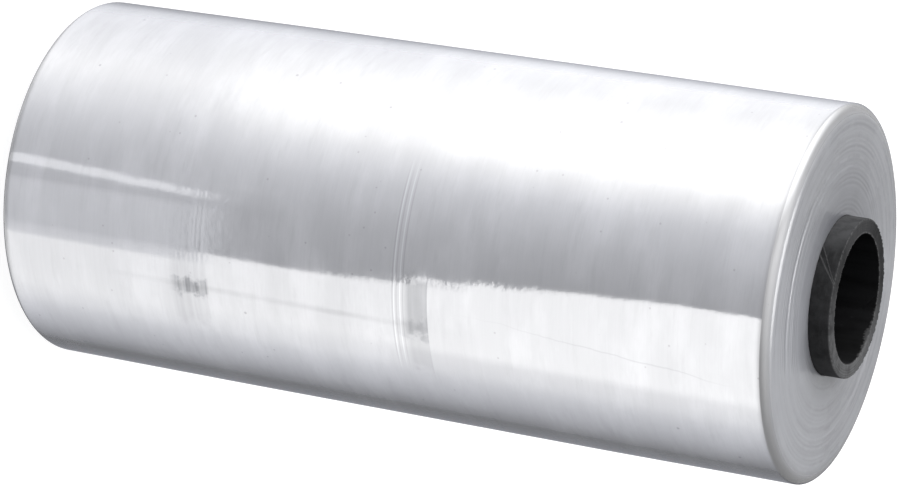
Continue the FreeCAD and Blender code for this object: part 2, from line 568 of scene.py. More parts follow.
    def ends(self, sketch: NodeSketch, radius: Socket, side_normal: Socket,
             on_end: Socket) -> tuple[Socket, Socket]:
        """Colour and relief where the film's edges lie: thousands of fine rings, seen as soft cloudy bands,
        with a painted shadow beside the core and painted light on one side.

        Args:
            sketch: Where the nodes go.
            radius: Distance from the axis.
            side_normal: Normal of the side's relief, which goes on under the rings.
            on_end: 1 on the ends and 0 on the side.

        Returns:
            The colour and the normal.
        """
        clouds = sketch.noise(sketch.object_place(), 24.0, 4.0, 0.6)
        drift = sketch.product(clouds, 5.0)
        fine = self.rings(sketch, radius, 1500.0, drift)
        broad = self.rings(sketch, radius, 230.0, drift)
        bright = self.edge_shade(1.4)
        colour = sketch.blend(sketch.ramp(broad, 0.3, 0.7), self.edge_shade(0.84), self.edge_shade(1.12))
        colour = sketch.layer(colour, clouds, 0.42, 0.7, 0.4, bright)
        colour = sketch.layer(colour, fine, 0.45, 0.72, 0.2, bright)
        # Painted shadow: the ends are darker near the core, most on the side where the core casts it.
        painted_core_shadow = sketch.product(
            sketch.ramp(radius, self.core_radius, self.core_radius * 2.1, 1.0, 0.0),
            sketch.ramp(sketch.facing(self.core_shade_bearing), 0.3, 1.0, 0.05, 0.75),
        )
        colour = sketch.blend(painted_core_shadow, colour, self.edge_shade(0.5, 1.6))
        # Painted light: the ends are paler on one side, round a bearing.
        end_painted_light = sketch.ramp(sketch.facing(self.end_painted_light_bearing), 0.2, 0.95, 0.0, 0.55)
        colour = sketch.blend(end_painted_light, colour, bright)
        normal = sketch.bump(sketch.product(fine, on_end), 0.008 * MM, side_normal)
        normal = sketch.bump(sketch.product(broad, on_end), 0.06 * MM, normal)
        return colour, normal

    @staticmethod
    def rings(sketch: NodeSketch, radius: Socket, per_metre: float, drift: Socket) -> Socket:
        """Uneven rings round the axis.

        Args:
            sketch: Where the nodes go.
            radius: Distance from the axis.
            per_metre: Rings for each metre of radius.
            drift: How much the pattern changes round the roll.

        Returns:
            Noise between 0 and 1.
        """
        across = sketch.product(radius, per_metre)
        place = sketch.node("ShaderNodeCombineXYZ", {"X": across, "Y": drift}).outputs[0]
        return sketch.noise(place, 1.0, 3.0, 0.6)

    @staticmethod
    def specks(sketch: NodeSketch, per_metre: float, size: float, rarity: float) -> Socket:
        """Small round specks in a few of the cells of a cell pattern.

        Args:
            sketch: Where the nodes go.
            per_metre: Cells for each metre.
            size: Radius of a speck, as a share of its cell.
            rarity: Share of the cells that stay empty.

        Returns:
            1 in a speck and 0 elsewhere.
        """
        cells = sketch.node("ShaderNodeTexVoronoi", {"Vector": sketch.object_place(), "Scale": per_metre})
        near = sketch.ramp(cells.outputs["Distance"], size, size * 2.2, 1.0, 0.0)
        draw = sketch.node("ShaderNodeSeparateColor", {"Color": cells.outputs["Color"]}).outputs[0]
        return sketch.product(near, sketch.maths("GREATER_THAN", draw, rarity))


@dataclass(frozen=True)
class CoreBoardFinish:
    """Recycled paperboard: dark grey, mottled with fibre, and pale on its rims and where it is frayed, with
    painted light on its outside and painted shade in the bore.
    """

    bore_radius: float
    rim_height: float
    name: str = "core_board"
    wear_layer: str = "frayed"
    tone: float = 0.024
    coolness: float = 0.04
    # Bearing of the side of the outside that painted light makes paler.
    board_painted_light_bearing: float = -156.0
    # Bearing towards which painted light makes the rims' ply lines pale.
    rim_light_bearing: float = 0.0
    worn_tone: float = 0.15
    roughness: float = 0.7
    refraction: float = 1.45
    gloss: float = 0.05

    def shade(self, share: float) -> Colour:
        """A share of the board's tone."""
        return cool_grey(self.tone * share, self.coolness)

    def material(self) -> bpy.types.Material:
        """The finished material.

        Returns:
            A material with plies on its rims, fibre all over, pale paper where the mesh says it is frayed and
            painted shade in the bore.
        """
        made, sketch = new_material(self.name)
        radius = sketch.radius()
        mottle = sketch.noise(sketch.object_place(), 120.0, 5.0, 0.65)
        grain = sketch.streaks(70.0, 420.0, 4.0, 0.7)
        fibre = sketch.noise(sketch.object_place((1.0, 1.0, 2.0)), 700.0, 3.0, 0.6)
        colour = sketch.blend(sketch.ramp(mottle, 0.32, 0.7), self.shade(0.7), self.shade(1.35))
        # Painted light: the outside is paler in mottled patches on one side and less so on the opposite side.
        board_light_facing = sketch.facing(self.board_painted_light_bearing)
        board_painted_light = sketch.plus(
            sketch.ramp(board_light_facing, 0.78, 0.99), sketch.product(sketch.ramp(board_light_facing, -0.1, -0.85), 0.6)
        )
        board_painted_light = sketch.product(board_painted_light, sketch.ramp(mottle, 0.25, 0.6, 0.4, 0.95))
        colour = sketch.blend(board_painted_light, colour, self.shade(2.6))
        pale = cool_grey(self.tone * 2.4, 0.03)
        colour = sketch.layer(colour, grain, 0.5, 0.78, 0.35, pale)
        colour = sketch.layer(colour, fibre, 0.55, 0.8, 0.35, pale)
        colour = self.rims(sketch, radius, mottle, colour)
        # Painted shade: the bore is darkened almost to black, with streaks along the axis that stand in for
        # shadow lines.
        painted_bore_shade = sketch.ramp(radius, self.bore_radius + 0.35 * MM, self.bore_radius + 0.9 * MM, 0.9, 0.0)
        streaks = sketch.streaks(55.0, 5.0, 3.0, 0.6)
        dark = sketch.blend(sketch.ramp(streaks, 0.4, 0.62), cool_grey(0.002, 0.1), cool_grey(0.009, 0.1))
        colour = sketch.blend(painted_bore_shade, colour, dark)
        frayed = sketch.node("ShaderNodeAttribute", attribute_name=self.wear_layer).outputs["Fac"]
        ragged = sketch.product(frayed, sketch.ramp(fibre, 0.25, 0.6, 0.45, 1.0))
        colour = sketch.blend(ragged, colour, cool_grey(self.worn_tone, 0.02))
        normal = None
        for pattern, depth in ((mottle, 0.15 * MM), (grain, 0.05 * MM), (fibre, 0.06 * MM)):
            normal = sketch.bump(pattern, depth, normal)
        sketch.surface({
            "Base Color": colour,
            "Roughness": self.roughness,
            "IOR": self.refraction,
            "Specular IOR Level": self.gloss,
            "Normal": normal,
        })
        return made

    def rims(self, sketch: NodeSketch, radius: Socket, mottle: Socket, below: Socket) -> Socket:
        """Lays the lines of the plies over the board's colour at both rims: pale on one side with painted
        light, dark on the other with painted shade.

        Args:
            sketch: Where the nodes go.
            radius: Distance from the axis.
            mottle: The board's mottled pattern.
            below: The board's colour.

        Returns:
            The new colour.
        """
        half = self.rim_height / 2
        from_middle = sketch.distance(sketch.height(), half)
        at_rim = sketch.ramp(from_middle, half - 1.5 * MM, half - 0.5 * MM)
        plies = sketch.node("ShaderNodeCombineXYZ", {"X": sketch.product(radius, 1300.0)}).outputs[0]
        ply_lines = sketch.ramp(sketch.noise(plies, 1.0, 2.0, 0.6), 0.3, 0.7, 0.4, 0.9)
        share = sketch.product(at_rim, ply_lines, sketch.ramp(mottle, 0.3, 0.65, 0.4, 1.0))
        # Painted light and shade: the ply lines are pale on the side towards one bearing and dark on the
        # opposite side.
        tone = sketch.blend(
            sketch.ramp(sketch.facing(self.rim_light_bearing), -0.4, 0.95),
            cool_grey(self.worn_tone * 0.22, 0.03),
            cool_grey(self.worn_tone * 0.95, 0.03),
        )
        return sketch.blend(share, below, tone)


@dataclass(frozen=True)
class StageFinish:
    """A plain pale finish for the floor and the backdrop, which glow a little by themselves."""

    name: str
    tone: float
    glow: float

    def material(self) -> bpy.types.Material:
        """The finished material.

        Returns:
            A plain dull material without gloss.
        """
        made, sketch = new_material(self.name)
        sketch.surface({
            "Base Color": cool_grey(self.tone),
            "Roughness": 0.9,
            "Specular IOR Level": 0.0,
            "Emission Color": cool_grey(1.0),
            "Emission Strength": self.glow,
        })
        return made


# The roll


@dataclass
class FilmWinding:
    """All the turns of the film: rippled ends, round shoulders, and a side that the winding has marked."""

    foot: float
    head: float
    core_radius: float
    outer_radius: float
    shoulder_reach: float = 10 * MM
    shoulder_drop: float = 5 * MM
    edge_thinning: float = 0.5 * MM
    thinning_start: float = 113 * MM
    skin: float = 0.08 * MM
    columns: int = 180
    end_rows: tuple[int, int] = (48, 104)
    shoulder_rows: int = 14
    plain_spacing: float = 3.2 * MM
    marked_stretches: tuple[tuple[float, float, float], ...] = (
        (-133 * MM, -104 * MM, 0.42 * MM), (16 * MM, 27 * MM, 0.3 * MM), (39 * MM, 43 * MM, 0.35 * MM),
    )
    turn_groups: int = 17
    group_step: float = 0.62
    group_lean: float = 0.6
    group_recovery: float = 10 * MM
    fine_wander: float = 0.24
    glint_step: float = 1.1
    glint_places: tuple[tuple[float, float], ...] = ((73.6 * MM, -70), (90.0 * MM, -130))
    largest_wander: float = 0.40 * MM
    ring_seed: int = 11
    azimuths: np.ndarray = field(init=False)

    def __post_init__(self) -> None:
        """Lays out the columns round the axis."""
        self.azimuths = np.linspace(0, TURN, self.columns, endpoint=False)

    @property
    def middle(self) -> float:
        """Height of the middle of the film."""
        return (self.foot + self.head) / 2

    @property
    def side_radius(self) -> float:
        """Radius at the two ends of the side, under the skin that keeps the marks inside the solid."""
        return self.outer_radius - self.skin - self.edge_thinning

    @property
    def flat_radius(self) -> float:
        """Radius at which the flat of an end passes into its shoulder."""
        return self.side_radius - self.shoulder_reach

    def facing(self, bearing: float, low: float, high: float) -> np.ndarray:
        """How much each column faces a bearing: a smooth step from low to high of the angle's cosine."""
        return smooth_step(np.cos(self.azimuths - math.radians(bearing)), low, high)

    def side_heights(self) -> np.ndarray:
        """Heights of the side's rows, closer together where marks cross them.

        Returns:
            Heights from the lower shoulder to the upper one.
        """
        start, end = self.foot + self.shoulder_drop, self.head - self.shoulder_drop
        pieces, place = [], start
        for low, high, spacing in self.marked_stretches:
            for until, step in ((self.middle + low, self.plain_spacing), (self.middle + high, spacing)):
                count = max(2, round((until - place) / step))
                pieces.append(np.linspace(place, until, count, endpoint=False))
                place = until
        pieces.append(np.linspace(place, end, round((end - place) / self.plain_spacing)))
        return np.concatenate(pieces)

    def side_surface(self, heights: np.ndarray) -> np.ndarray:
        """Radius of the side at each height and azimuth.

        The radius is full in the middle. It falls off in a straight line below the lower gauge band and as
        a smooth step towards the upper end. Long uneven waves run along the side, and the bands add marks.

        Args:
            heights: Heights of the rows.

        Returns:
            One row for each height and one column for each azimuth.
        """
        from_middle = heights - self.middle
        half = (self.head - self.foot) / 2
        full_length = half - self.shoulder_drop
        thinning = self.edge_thinning * np.where(
            from_middle < 0,
            np.clip((-self.thinning_start - from_middle) / (full_length - self.thinning_start), 0.0, 1.0),
            smooth_step(from_middle, 0.5 * half, full_length),
        )
        waves = 0.009 * MM * sway(heights, 7, 90 * MM, 30 * MM, 3)
        waves *= 1 - bell(np.abs(from_middle), half, 14 * MM)
        profile = self.outer_radius - self.skin - thinning + waves
        return profile[:, None] + self.lower_band(from_middle) + self.upper_band(from_middle)

    def lower_band(self, from_middle: np.ndarray) -> np.ndarray:
        """Relief of the lower gauge band: a shallow bell with a comb of fine grooves.

        Args:
            from_middle: Heights of the rows above the film's middle.

        Returns:
            Height of the relief at each row and azimuth.
        """
        comb = grooves(
            from_middle / MM,
            ((-129.6, -0.003), (-127.2, -0.002), (-124.6, -0.004), (-121.9, -0.002), (-119.8, 0.002),
             (-117.2, -0.004), (-114.3, -0.003), (-111.9, -0.005), (-108.6, -0.005), (-106.9, 0.002)),
            0.8,
        )
        strength = 0.3 + 0.7 * self.facing(-60, 0.8, 0.98)
        return MM * (np.outer(comb, strength) - 0.02 * bell(from_middle, -119 * MM, 12 * MM)[:, None])

    def upper_band(self, from_middle: np.ndarray) -> np.ndarray:
        """Relief of the upper gauge band: two double lines, and a stretch that ends in a small step.

        Args:
            from_middle: Heights of the rows above the film's middle.

        Returns:
            Height of the relief at each row and azimuth.
        """
        lines = grooves(
            from_middle / MM,
            ((18.6, -0.0020), (19.6, 0.0016), (21.2, -0.0020), (23.6, 0.0014), (25.4, -0.0012)),
            0.6,
        )
        strength = 0.2 + 0.8 * self.facing(-78, 0.35, 0.75)
        stretch = smooth_step(from_middle, 22 * MM, 34 * MM) * smooth_step(from_middle, 41.8 * MM, 40.4 * MM)
        return MM * (np.outer(lines, strength) - 0.004 * stretch[:, None])

    def wander(self, radii: np.ndarray) -> np.ndarray:
        """How far the turns lie up the core at each radius and azimuth.

        Groups of turns of uneven thickness each keep a level of their own, and one group's level passes
        smoothly into the next one's. Each group leans a little, so that its level swings once round the
        roll. Two short steps more catch the light.

        Args:
            radii: Radius of each row.

        Returns:
            Heights with one row for each radius and one column for each azimuth.
        """
        draw = np.random.default_rng(self.ring_seed)
        span = self.flat_radius - self.core_radius
        edges = self.core_radius + np.sort(draw.uniform(0.03, 0.98, self.turn_groups)) * span
        steps = draw.normal(0.0, self.group_step, self.turn_groups)
        leans = draw.uniform(0, TURN, self.turn_groups)
        widths = draw.uniform(0.8 * MM, 2.2 * MM, self.turn_groups)
        level = np.zeros((len(radii), self.columns))
        for edge, step, lean, width in zip(edges, steps, leans, widths):
            rise = smooth_step(radii, edge - width, edge + width)
            recovery = smooth_step(radii, edge, edge + self.group_recovery)
            level += np.outer(rise, step * (1.0 + self.group_lean * np.cos(self.azimuths - lean)))
            level -= np.outer(recovery, np.full(self.columns, step))
        for edge, bearing in self.glint_places:
            fall = smooth_step(radii, edge + 1.1 * MM, edge - 1.1 * MM)
            fall *= smooth_step(radii, edge - 9 * MM, edge)
            level += self.glint_step * np.outer(fall, self.facing(bearing, 0.965, 0.998))
        level += self.fine_wander * sway(radii, 6, 6 * MM, 2.2 * MM, self.ring_seed + 1)[:, None]
        level *= smooth_step(radii, self.core_radius, self.core_radius + 1.5 * MM)[:, None]
        return self.largest_wander * np.tanh(0.5 * level)

    def end_face(self, end: RollEnd) -> tuple[np.ndarray, np.ndarray]:
        """One end with its shoulder, from the core outwards.

        The shoulder is a quarter of an ellipse, and the turns' wander fades out along it.

        Args:
            end: Which end.

        Returns:
            Radii and heights, with one row for each profile point.
        """
        lower = end is RollEnd.LOWER
        count, level = (self.end_rows[0], self.foot) if lower else (self.end_rows[1], self.head)
        flat = np.linspace(self.core_radius, self.flat_radius, count, endpoint=False)
        angles = np.linspace(0, math.pi / 2, self.shoulder_rows, endpoint=False)
        radii = np.concatenate([flat, self.flat_radius + self.shoulder_reach * np.sin(angles)])
        climb = np.concatenate([np.zeros(count), self.shoulder_drop * (1 - np.cos(angles))])
        fade = np.concatenate([np.ones(count), np.cos(angles)])
        heights = level - end.value * climb[:, None] + self.wander(radii) * fade[:, None]
        return np.outer(radii, np.ones(self.columns)), heights

    def profile(self) -> tuple[np.ndarray, np.ndarray]:
        """The whole closed surface.

        Returns:
            Radii and heights, with one row for each profile point.
        """
        lower_radii, lower_heights = self.end_face(RollEnd.LOWER)
        upper_radii, upper_heights = self.end_face(RollEnd.UPPER)
        side = self.side_heights()
        radii = [lower_radii, self.side_surface(side), upper_radii[::-1]]
        heights = [lower_heights, np.outer(side, np.ones(self.columns)), upper_heights[::-1]]
        return np.concatenate(radii), np.concatenate(heights)

    def build(self) -> bpy.types.Object:
        """Makes the winding, dresses it and lets it stand for the plain solid.

        Returns:
            The finished piece.
        """
        radii, heights = self.profile()
        piece = revolved_mesh("film_turns", radii, heights, self.azimuths)
        half = (self.head - self.foot) / 2
        finish = StretchFilmFinish(self.middle, half, self.side_radius, self.core_radius, self.shoulder_drop)
        piece.data.materials.append(finish.material())
        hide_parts("film_winding")
        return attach(piece, "root")


@dataclass
class PaperCore:
    """The spiral-wound paperboard tube, with its seam, the plies on its rims and its frayed edges."""

    bottom: float
    top: float
    outer_radius: float
    film_foot: float
    film_head: float
    bore_radius: float = 38.1 * MM
    columns: int = 440
    ply: float = 0.6 * MM
    seam_pitch: float = 190 * MM
    seam_bearing: float = math.radians(-121)
    seam_width: float = 6.0 * MM
    inner_seam_bearing: float = 1.3
    lump_bearing: float = math.radians(56)
    azimuths: np.ndarray = field(init=False)

    def __post_init__(self) -> None:
        """Lays out the columns round the axis."""
        self.azimuths = np.linspace(0, TURN, self.columns, endpoint=False)

    def off_seam(self, heights: np.ndarray, bearing: float, radius: float) -> np.ndarray:
        """Distance round the tube from a seam, which climbs one pitch in a turn.

        Args:
            heights: Heights of the rows.
            bearing: Where the seam leaves the film's upper end, in radians.
            radius: Radius that the seam runs at.

        Returns:
            The distance, with one row for each height and one column for each azimuth.
        """
        climb = (heights - self.film_head)[:, None] / self.seam_pitch * TURN
        return wrapped(self.azimuths[None, :] - bearing - climb) * radius

    def outside(self, heights: np.ndarray) -> tuple[np.ndarray, np.ndarray]:
        """The outside of the tube, with the seam laid open.

        The seam is a smooth trough one ply deep, wide where it leaves the film and narrow at the rim. Its
        lips are frayed, and the board is a little lumpy.

        Args:
            heights: Heights of the rows.

        Returns:
            Radius and fraying, with one row for each height and one column for each azimuth.
        """
        off = self.off_seam(heights, self.seam_bearing, self.outer_radius)
        to_rim = smooth_step(
            np.abs(heights - (self.top + self.bottom) / 2),
            (self.film_head - self.film_foot) / 2,
            (self.top - self.bottom) / 2,
        )
        half = (0.5 * self.seam_width * (1.0 - 0.8 * to_rim))[:, None]
        trough = smooth_step(off, -half, -half + 0.5 * MM) * smooth_step(off, half, half - 0.5 * MM)
        lips = bell(off, -half, 0.45 * MM) + 0.7 * bell(off, half, 0.4 * MM)
        lumps = 0.05 * MM * sway(self.azimuths * self.outer_radius, 9, 40 * MM, 4 * MM, 8)
        radii = self.outer_radius - 0.12 * MM + lumps[None, :] * 0.6 - 0.55 * self.ply * trough
        return radii, 0.75 * np.clip(lips, 0, 1)

    def rim(self, radii: np.ndarray) -> tuple[np.ndarray, np.ndarray]:
        """A rim: how far it stands below the tube's full height, and how frayed it is.

        Each ply is a low ridge one and a half plies wide, uneven waves run round each, and both edges are
        frayed.

        Args:
            radii: Radius of each row.

        Returns:
            Depth and fraying, with one row for each radius and one column for each azimuth.
        """
        along = self.azimuths * self.outer_radius
        ridge = 0.10 * MM * (1 + np.cos(TURN * (radii - self.bore_radius) / (1.5 * self.ply)))
        waves = 0.08 * MM * (1 + np.tanh(sway(along, 12, 30 * MM, 2.0 * MM, 31)))
        tufts = tufted(along, 1.4, 16, 9 * MM, 1.1 * MM, 32)
        inner_tufts = tufted(along, 1.4, 14, 12 * MM, 1.4 * MM, 37)
        outermost = smooth_step(radii, self.outer_radius - 1.4 * MM, self.outer_radius - 0.5 * MM)
        innermost = smooth_step(radii, self.bore_radius + 1.6 * MM, self.bore_radius + 0.5 * MM)
        worn = np.outer(outermost, tufts) + np.outer(innermost, inner_tufts)
        depth = ridge[:, None] + waves[None, :] + 0.45 * MM * worn
        frayed = np.outer(outermost, 0.55 * tufts) + np.outer(innermost, 0.2 + 0.6 * inner_tufts)
        return depth, frayed

    def bore(self, heights: np.ndarray) -> tuple[np.ndarray, np.ndarray]:
        """The bore, with the seam of the innermost ply as a shallow trough and torn paper at the upper mouth.

        The torn paper stands in by two tenths of a millimetre at most, in tufts and in one long lump.

        Args:
            heights: Heights of the rows.

        Returns:
            Radius and fraying, with one row for each height and one column for each azimuth.
        """
        off = self.off_seam(heights, self.inner_seam_bearing, self.bore_radius)
        along = self.azimuths * self.bore_radius
        tufts = tufted(along, 1.6, 14, 12 * MM, 1.4 * MM, 37)
        lump = bell(wrapped(self.azimuths - self.lump_bearing), 0.0, math.radians(20))
        ragged = 0.7 + 0.3 * np.tanh(2 * sway(along, 9, 16 * MM, 5 * MM, 41))
        reach = 1.0 * MM * tufts + 2.6 * MM * lump * ragged
        torn = smooth_step((self.top - heights)[:, None], reach + 0.5 * MM, reach - 0.5 * MM)
        radii = self.bore_radius + 0.2 * MM + 0.3 * MM * bell(off, 0.0, 1.2 * MM) - 0.2 * MM * torn
        return radii, 0.42 * torn * np.clip(0.35 * tufts + lump, 0, 1)

    def profile(self) -> tuple[np.ndarray, np.ndarray, np.ndarray]:
        """The whole closed surface.

        Returns:
            Radii, heights and fraying, with one row for each profile point.
        """
        ones = np.ones(self.columns)
        rim_radii = np.linspace(self.bore_radius + 0.3 * MM, self.outer_radius - 0.35 * MM, 28)
        side = np.concatenate([
            np.linspace(self.bottom + 0.8 * MM, self.film_foot + 1 * MM, 16),
            np.linspace(self.film_foot + 4 * MM, self.film_head - 4 * MM, 8),
            np.linspace(self.film_head - 1 * MM, self.top - 0.8 * MM, 26),
        ])
        inside = np.concatenate([
            np.linspace(self.top - 0.5 * MM, self.top - 7 * MM, 16),
            np.linspace(self.top - 9 * MM, self.top - 60 * MM, 12),
            np.linspace(self.top - 70 * MM, self.bottom + 0.7 * MM, 10),
        ])
        depth, rim_fray = self.rim(rim_radii)
        side_radii, side_fray = self.outside(side)
        bore_radii, bore_fray = self.bore(inside)
        radii = [np.outer(rim_radii, ones), side_radii, np.outer(rim_radii[::-1], ones), bore_radii]
        side_heights, bore_heights = np.outer(side, ones), np.outer(inside, ones)
        heights = [self.bottom + 0.15 * depth, side_heights, self.top - depth[::-1], bore_heights]
        frayed = [0.4 * rim_fray, side_fray, rim_fray[::-1], bore_fray]
        return np.concatenate(radii), np.concatenate(heights), np.concatenate(frayed)

    def build(self) -> bpy.types.Object:
        """Makes the core, dresses it and lets it stand for the plain solid.

        Returns:
            The finished piece.
        """
        radii, heights, frayed = self.profile()
        piece = revolved_mesh("core_tube", radii, heights, self.azimuths)
        finish = CoreBoardFinish(self.bore_radius, self.top)
        layer = piece.data.attributes.new(finish.wear_layer, "FLOAT", "POINT")
        layer.data.foreach_set("value", frayed.astype(np.float32).ravel())
        piece.data.materials.append(finish.material())
        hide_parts("core")
        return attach(piece, "root")


# The studio


@dataclass(frozen=True)
class RoomLight:
    """The light of the room by direction: soft and pale above, with tall dark and bright screens below.

    Azimuths are in degrees from the middle of the dark screen that stands behind the camera. Each screen
    gives the brightness round the lower half of the room as pairs of azimuth and brightness. The dark
    screen's far edge is drawn at one azimuth and shifted to others by elevation.
    """

    brightest: float = 3.4
    strip_light: float = 0.98
    faint_light: float = 0.13
    bar_shade: float = 0.27
    window_light: float = 4.5
    window_azimuth: float = 92.0
    window_elevation: float = 43.0
    window_angles: tuple[float, float] = (8.0, 4.0)
    dark_middle: float = -99.0
    drawn_edge: float = 47.0
    mean_edge: float = 53.6
    beside_azimuth: float = 84.0
    beside: tuple[float, float, float] = (2.35, 2.45, 2.85)
    near_side: tuple[tuple[float, float], ...] = (
        (90, 2.28), (100, 1.95), (108, 1.5), (117, 1.12), (127, 0.76), (138, 0.4), (150, 0.14), (180, 0.3),
    )
    low_screen: tuple[tuple[float, float], ...] = (
        (-180, 0.3), (-156, 0.35), (-147, 0.5), (-138, 0.85), (-128, 1.2), (-118, 1.45), (-106, 1.6),
        (-96, 1.8), (-84, 2.0), (-70, 2.3), (-62, 2.3), (-51, 2.05), (-39, 1.75), (-27, 1.38), (-15, 1.1),
        (-4, 0.95), (15.5, 0.9), (18.5, 1.22), (38, 1.22), (41, 1.45), (45.8, 1.65), (48, 2.32),
    )
    middle_screen: tuple[tuple[float, float], ...] = (
        (-180, 0.3), (-156, 0.4), (-147, 0.6), (-138, 0.95), (-128, 1.35), (-118, 1.6), (-106, 1.95),
        (-96, 2.2), (-84, 2.5), (-72, 2.9), (-60, 3.0), (-50, 2.75), (-43, 2.45), (-34, 2.0), (-28, 1.8),
        (-20, 1.5), (-12, 1.2), (-3, 1.0), (6, 0.8), (16, 0.66), (46.2, 0.57), (47.9, 2.4),
    )
    high_screen: tuple[tuple[float, float], ...] = (
        (-180, 0.3), (-156, 0.5), (-147, 0.75), (-138, 1.25), (-128, 1.75), (-118, 1.95), (-106, 2.1),
        (-96, 2.4), (-84, 2.85), (-76, 3.2), (-44, 3.25), (-40, 2.85), (-34, 2.35), (-28, 1.95),
        (-20, 1.45), (-12, 1.15), (-3, 0.95), (6, 0.76), (16, 0.63), (46.2, 0.50), (47.9, 2.7),
    )
    edge_shifts: tuple[tuple[float, float, float], ...] = (
        (-28.65, -28.35, -7.2), (-27.9, -26.6, 0.6), (-26.1, -25.3, -3.2), (-24.85, -24.45, -5.2),
        (-24.3, -22.0, -6.0), (-22.0, -19.0, -4.0),
    )

    def world(self) -> bpy.types.World:
        """Makes the room and hands it to the scene.

        Returns:
            The world that lights the scene.
        """
        world = bpy.data.worlds.new("studio_room")
        bpy.context.scene.world = world
        world.use_nodes = True
        sketch = NodeSketch(world.node_tree)
        direction = sketch.node("ShaderNodeTexCoord").outputs["Generated"]
        parts = sketch.node("ShaderNodeSeparateXYZ", {0: direction}).outputs
        elevation = sketch.maths("DEGREES", sketch.maths("ARCSINE", parts[2]))
        off = sketch.maths("WRAP", sketch.plus(sketch.bearing(parts), -self.dark_middle), 180.0, -180.0)
        below = self.lower_room(sketch, off, elevation)
        above = self.upper_room(sketch, direction, parts)
        light = sketch.blend(sketch.ramp(elevation, -6.0, 4.0), below, above)
        shader = sketch.node("ShaderNodeBackground", {"Color": light, "Strength": 1.0})
        sketch.node("ShaderNodeOutputWorld", {"Surface": shader.outputs[0]})
        return world

    def screens(self, sketch: NodeSketch, off: Socket, screen: tuple[tuple[float, float], ...],
                beside: float) -> Socket:
        """Brightness round the room for one of the three heights of the dark screen.

        Args:
            sketch: Where the nodes go.
            off: Azimuth from the middle of the dark screen, in degrees.
            screen: Brightness from the far side to the dark screen's last edge.
            beside: Brightness of the bright screen beside it.

        Returns:
            The brightness as a colour, as a share of the brightest.
        """
        stops = []
        for angle, brightness in screen + ((self.beside_azimuth, beside),) + self.near_side:
            coolness = 0.13 * max(0.0, 1 - brightness / 2.5)
            stops.append((angle, cool_grey(brightness / self.brightest, coolness)))
        return sketch.levels(off, -180.0, 180.0, stops)

    def lower_room(self, sketch: NodeSketch, off: Socket, elevation: Socket) -> Socket:
        """Brightness of the room's lower half.

        Args:
            sketch: Where the nodes go.
            off: Azimuth from the middle of the dark screen, in degrees.
            elevation: Elevation in degrees.

        Returns:
            The brightness as a colour.
        """
        shift: object = self.mean_edge - self.drawn_edge
        for low, high, change in self.edge_shifts:
            shift = sketch.plus(shift, sketch.ramp(elevation, low, high, 0.0, change))
        near_edge = sketch.product(sketch.ramp(off, 16.0, 31.0), sketch.ramp(off, 58.0, 86.0, 1.0, 0.0))
        moved = sketch.minus(off, sketch.product(shift, near_edge))
        low_part, middle_part, high_part = (
            self.screens(sketch, moved, screen, beside)
            for screen, beside in zip((self.low_screen, self.middle_screen, self.high_screen), self.beside)
        )
        slow, quick = sketch.ramp(elevation, -29.3, -27.0), sketch.ramp(elevation, -28.42, -28.18)
        light = sketch.blend(sketch.ramp(off, 2.0, 9.0, slow, quick), low_part, middle_part)
        light = sketch.blend(sketch.ramp(elevation, -26.5, -23.0), light, high_part)
        light = self.strip_lights(sketch, light, off, elevation)
        light = self.window_bar(sketch, light, off, elevation)
        edge_of_light = sketch.product(
            sketch.ramp(elevation, -38.0, -33.0, 0.5, 1.0), sketch.ramp(elevation, -17.5, -12.0, 1.0, 0.6)
        )
        return sketch.scaled(light, sketch.product(edge_of_light, self.brightest))

    def strip_lights(self, sketch: NodeSketch, light: Socket, off: Socket, elevation: Socket) -> Socket:
        """Adds a low strip light in the dark screen, and a short faint one above its end.

        Args:
            sketch: Where the nodes go.
            light: Brightness so far.
            off: Azimuth from the middle of the dark screen, in degrees.
            elevation: Elevation in degrees.

        Returns:
            The new brightness.
        """
        low_edge = sketch.line(elevation, -31.6, -28.5, 1.8, 8.3)
        high_edge = sketch.line(elevation, -31.6, -28.5, 7.8, 12.6)
        inside = sketch.product(
            sketch.ramp(sketch.minus(off, low_edge), -0.6, 0.6),
            sketch.ramp(sketch.minus(off, high_edge), -0.6, 0.6, 1.0, 0.0),
            sketch.ramp(elevation, -28.66, -28.5, 1.0, 0.0),
        )
        strip = sketch.product(inside, self.strip_light / self.brightest)
        faint = sketch.product(
            sketch.between(off, 0.4, 4.0, 1.8),
            sketch.between(elevation, -28.05, -27.45, 0.3),
            self.faint_light / self.brightest,
        )
        more = sketch.plus(strip, faint)
        grey = sketch.node("ShaderNodeCombineXYZ", {0: more, 1: more, 2: more}).outputs[0]
        return sketch.node("ShaderNodeVectorMath", {0: light, 1: grey}, operation="ADD").outputs[0]

    def window_bar(self, sketch: NodeSketch, light: Socket, off: Socket, elevation: Socket) -> Socket:
        """Lays the thin broken shadow of a bar across the bright screen.

        Args:
            sketch: Where the nodes go.
            light: Brightness so far.
            off: Azimuth from the middle of the dark screen, in degrees.
            elevation: Elevation in degrees.

        Returns:
            The new brightness.
        """
        bar = sketch.line(elevation, -30.0, -24.7, 69.0, 71.5)
        near = sketch.ramp(sketch.distance(off, bar), 0.6, 2.8, 1.0, 0.0)
        along = sketch.node("ShaderNodeCombineXYZ", {"X": sketch.product(elevation, 2.2)}).outputs[0]
        broken = sketch.ramp(sketch.noise(along, 1.0, 2.0), 0.38, 0.62)
        length = sketch.between(elevation, -29.6, -24.6, 0.9)
        return sketch.scaled(light, sketch.minus(1.0, sketch.product(near, broken, length, self.bar_shade)))

